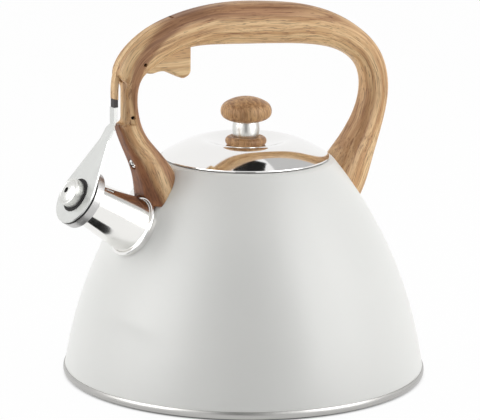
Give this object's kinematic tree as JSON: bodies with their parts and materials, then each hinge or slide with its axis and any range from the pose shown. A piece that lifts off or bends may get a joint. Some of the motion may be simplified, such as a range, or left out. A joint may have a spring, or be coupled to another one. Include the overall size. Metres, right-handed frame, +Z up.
{
  "type": "stovetop whistling kettle",
  "caption": "Bell-shaped stovetop kettle with a lift-off lid, tapered spout, wood-look bail handle and a trigger that swings a whistle cap off the spout.",
  "frame": {"origin": "middle of the base on the hob", "axes": "+Z up, spout towards -X, handle in the plane Y = 0"},
  "size_m": [0.2346, 0.22, 0.2275],
  "materials": {
    "painted_wall": "satin off-white enamel paint",
    "base_steel": "brushed",
    "spreader": "plain",
    "polished_steel": "mirror polished stainless steel",
    "plain_steel": "plain",
    "arm_steel": "satin",
    "wood_look": "moulded nylon with a soft wood-grain print",
    "black_nylon": "matt",
    "black_rubber": "matt silicone"
  },
  "bodies": {
    "kettle": {"body_shell": "painted_wall", "base_pan": "base_steel", "heat_spreader": "spreader", "base_cap": "base_steel", "spout_tube": "polished_steel", "spout_collar": "polished_steel", "handle": "wood_look", "front_bracket": "plain_steel", "rear_bracket": "plain_steel", "front_screw": "plain_steel", "rear_screw": "plain_steel", "leg_pin": "plain_steel", "trigger_pin": "plain_steel", "lever_pin": "plain_steel", "return_spring": "plain_steel"},
    "lid": {"lid_shell": "polished_steel", "lid_skirt": "plain_steel", "knob_rosette": "wood_look", "knob_ferrule": "polished_steel", "knob": "wood_look", "knob_washer": "plain_steel", "knob_screw": "plain_steel"},
    "trigger": {"trigger": "wood_look"},
    "whistle_lever": {"lever_bar": "wood_look", "lever_tongue": "black_nylon", "whistle_arm": "arm_steel", "whistle_cap": "polished_steel", "whistle_gasket": "black_rubber", "whistle_grommet": "black_rubber", "whistle_cup": "polished_steel", "whistle_plate": "plain_steel"}
  },
  "joints": [
    {"name": "lid_lift", "type": "slide", "parent": "kettle", "child": "lid", "axis": [0, 0, 1], "range_m": [0, 0.025]},
    {"name": "whistle_lift", "type": "hinge", "parent": "kettle", "child": "whistle_lever", "pos_m": [-0.055, 0, 0.216], "axis": [0, 1, 0], "range_deg": [0, 12]},
    {"name": "trigger_squeeze", "type": "hinge", "parent": "kettle", "child": "trigger", "pos_m": [-0.0742, 0, 0.1961], "axis": [0, -1, 0], "range_deg": [0, 15], "stiffness_Nm_per_rad": 0.15, "springref_deg": -5.73, "deforming": ["return_spring"]}
  ],
  "couplings": [
    {"joint": "trigger_squeeze", "follows": "whistle_lift", "ratio": 1.25}
  ]
}
